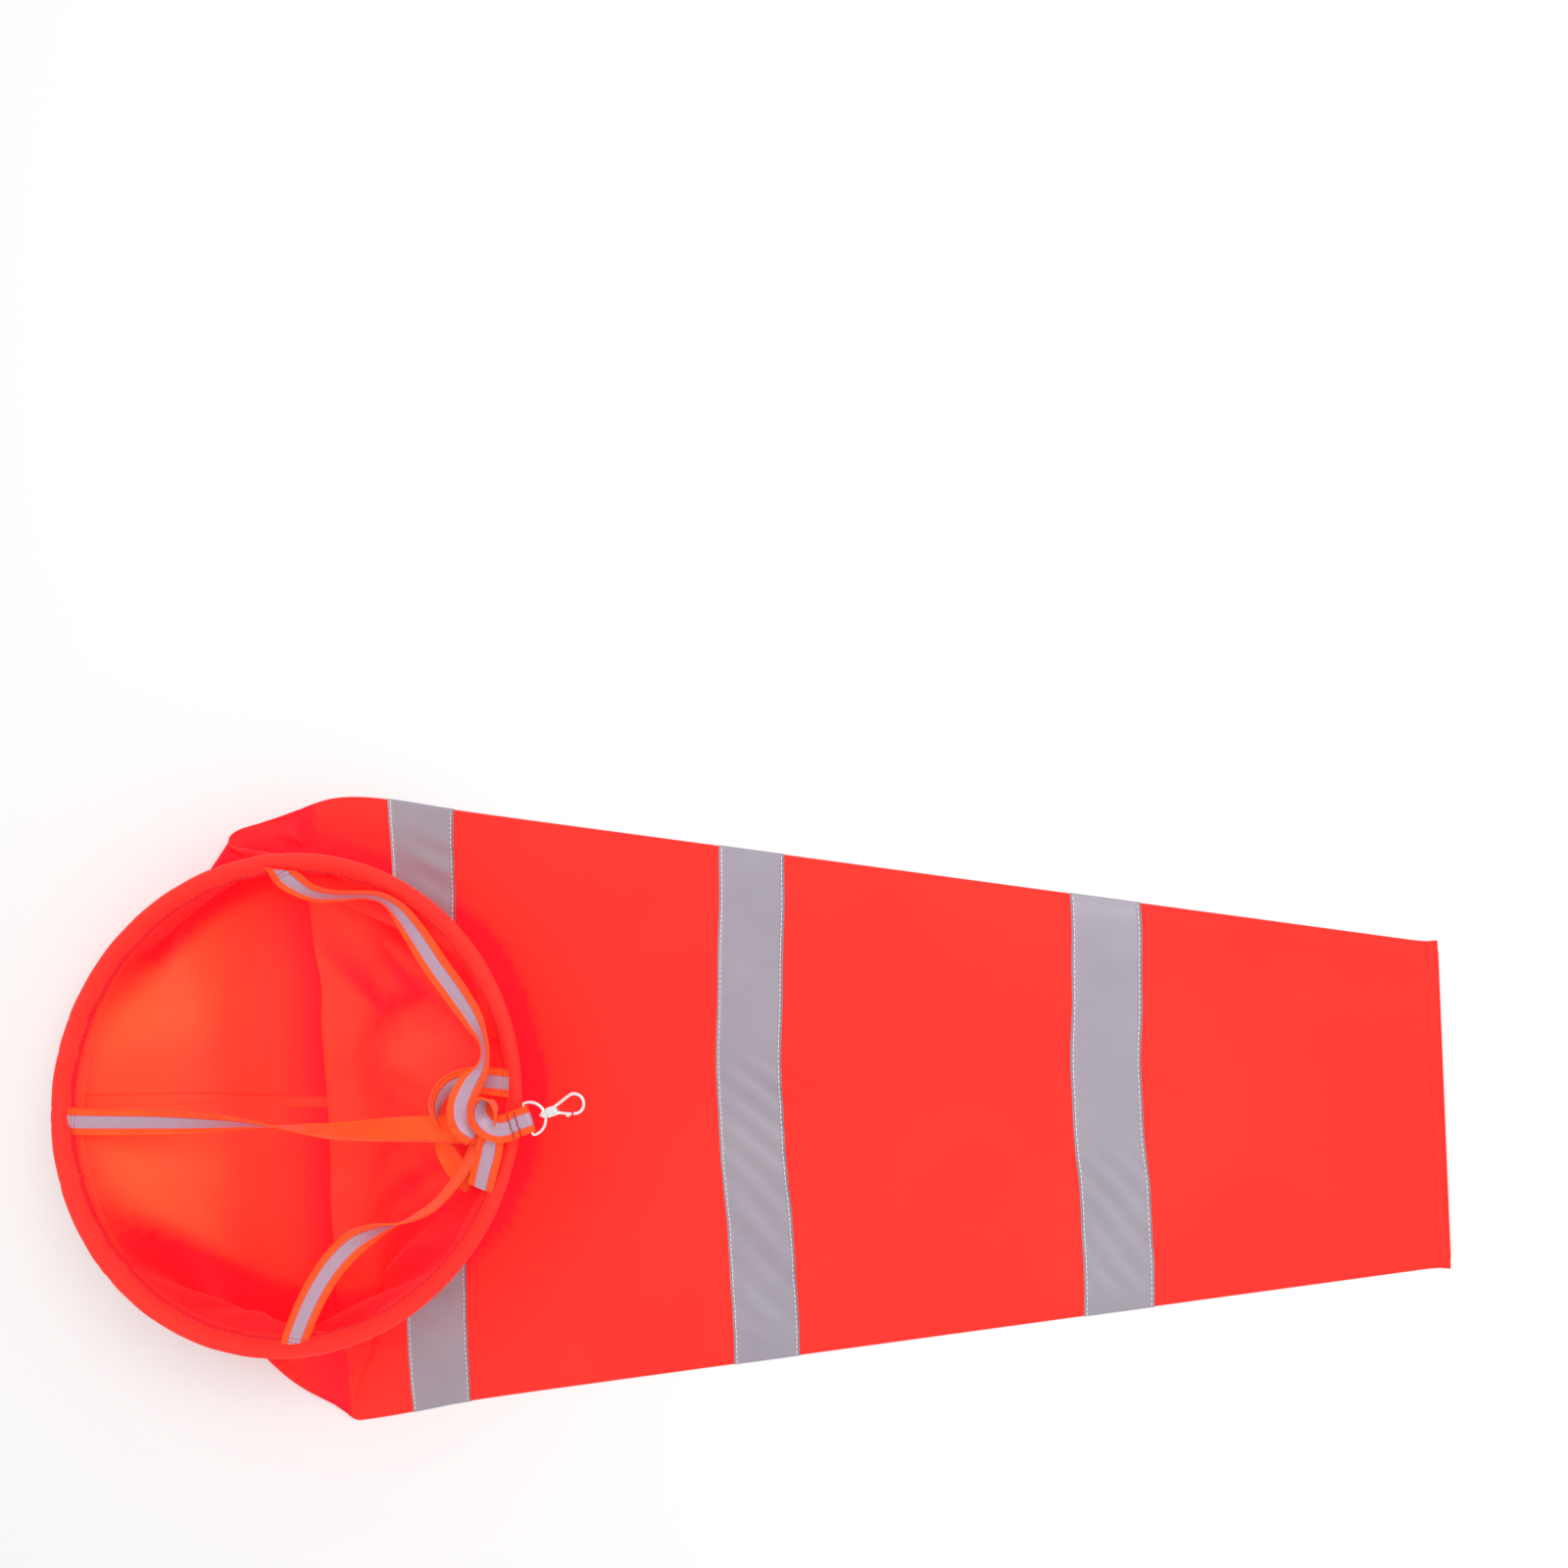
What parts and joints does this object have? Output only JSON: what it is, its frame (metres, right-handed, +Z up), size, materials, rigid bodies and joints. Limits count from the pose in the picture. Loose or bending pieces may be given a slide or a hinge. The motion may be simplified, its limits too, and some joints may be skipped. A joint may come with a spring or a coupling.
{
  "type": "windsock",
  "caption": "Tapered fabric windsock lying flat, with a wire mouth hoop, reflective bands, and a webbing bridle gathered on a swivel snap hook.",
  "frame": {"origin": "on the ground under the middle of the lying windsock's box", "axes": "+X along the sleeve towards the open tail, +Z up from the ground"},
  "size_m": [1.0179, 0.4808, 0.1058],
  "materials": {
    "sleeve_fabric": "fluorescent orange-red woven polyester",
    "hoop_steel": "spring wire",
    "reflective_tape": "silver-grey retroreflective tape, satin",
    "white_thread": "thread",
    "webbing": "fluorescent orange woven webbing",
    "webbing_stripe": "silver-grey reflective stripe",
    "red_thread": "dark red thread",
    "nickel_plate": "bright nickel plate",
    "spring_steel": "bare spring steel"
  },
  "bodies": {
    "root": {"sock_sleeve": "sleeve_fabric", "long_seam": "sleeve_fabric", "mouth_hem": "sleeve_fabric", "hoop_wire": "hoop_steel", "hoop_ferrule": "hoop_steel", "tail_hem": "sleeve_fabric", "reflective_band_1": "reflective_tape", "reflective_band_2": "reflective_tape", "reflective_band_3": "reflective_tape", "band_stitching_1": "white_thread", "band_stitching_2": "white_thread", "band_stitching_3": "white_thread", "bridle_strap_left": "webbing", "bridle_strap_top": "webbing", "bridle_strap_bottom": "webbing", "bridle_strap_right": "webbing", "strap_tail_end": "webbing", "strap_stripe_left": "webbing_stripe", "strap_stripe_top": "webbing_stripe", "strap_stripe_bottom": "webbing_stripe", "strap_stripe_right": "webbing_stripe", "strap_stripe_tail": "webbing_stripe", "bridle_knot": "webbing", "gather_loop": "webbing", "gather_stripe": "webbing_stripe", "gather_stitching": "red_thread", "strap_bartacks": "red_thread"},
    "eye": {"d_eye": "nickel_plate"},
    "hook": {"swivel_stud": "nickel_plate", "hook_body": "nickel_plate", "gate_rivet": "nickel_plate", "gate_spring": "spring_steel"},
    "gate_lever": {"gate": "nickel_plate"}
  },
  "joints": [
    {"name": "eye_swing", "type": "hinge", "parent": "root", "child": "eye", "pos_m": [-0.131, 0.0025, 0.086], "axis": [-0.309, 0.9511, 0], "range_deg": [-100, 90]},
    {"name": "hook_spin", "type": "hinge", "parent": "eye", "child": "hook", "pos_m": [-0.11816, 0.00667, 0.086], "axis": [0.9511, 0.309, 0], "continuous": true},
    {"name": "gate_open", "type": "hinge", "parent": "hook", "child": "gate_lever", "pos_m": [-0.11085, 0.00779, 0.086], "axis": [0, 0, 1], "range_deg": [0, 25], "stiffness_Nm_per_rad": 0.03, "springref_deg": -20.05}
  ]
}
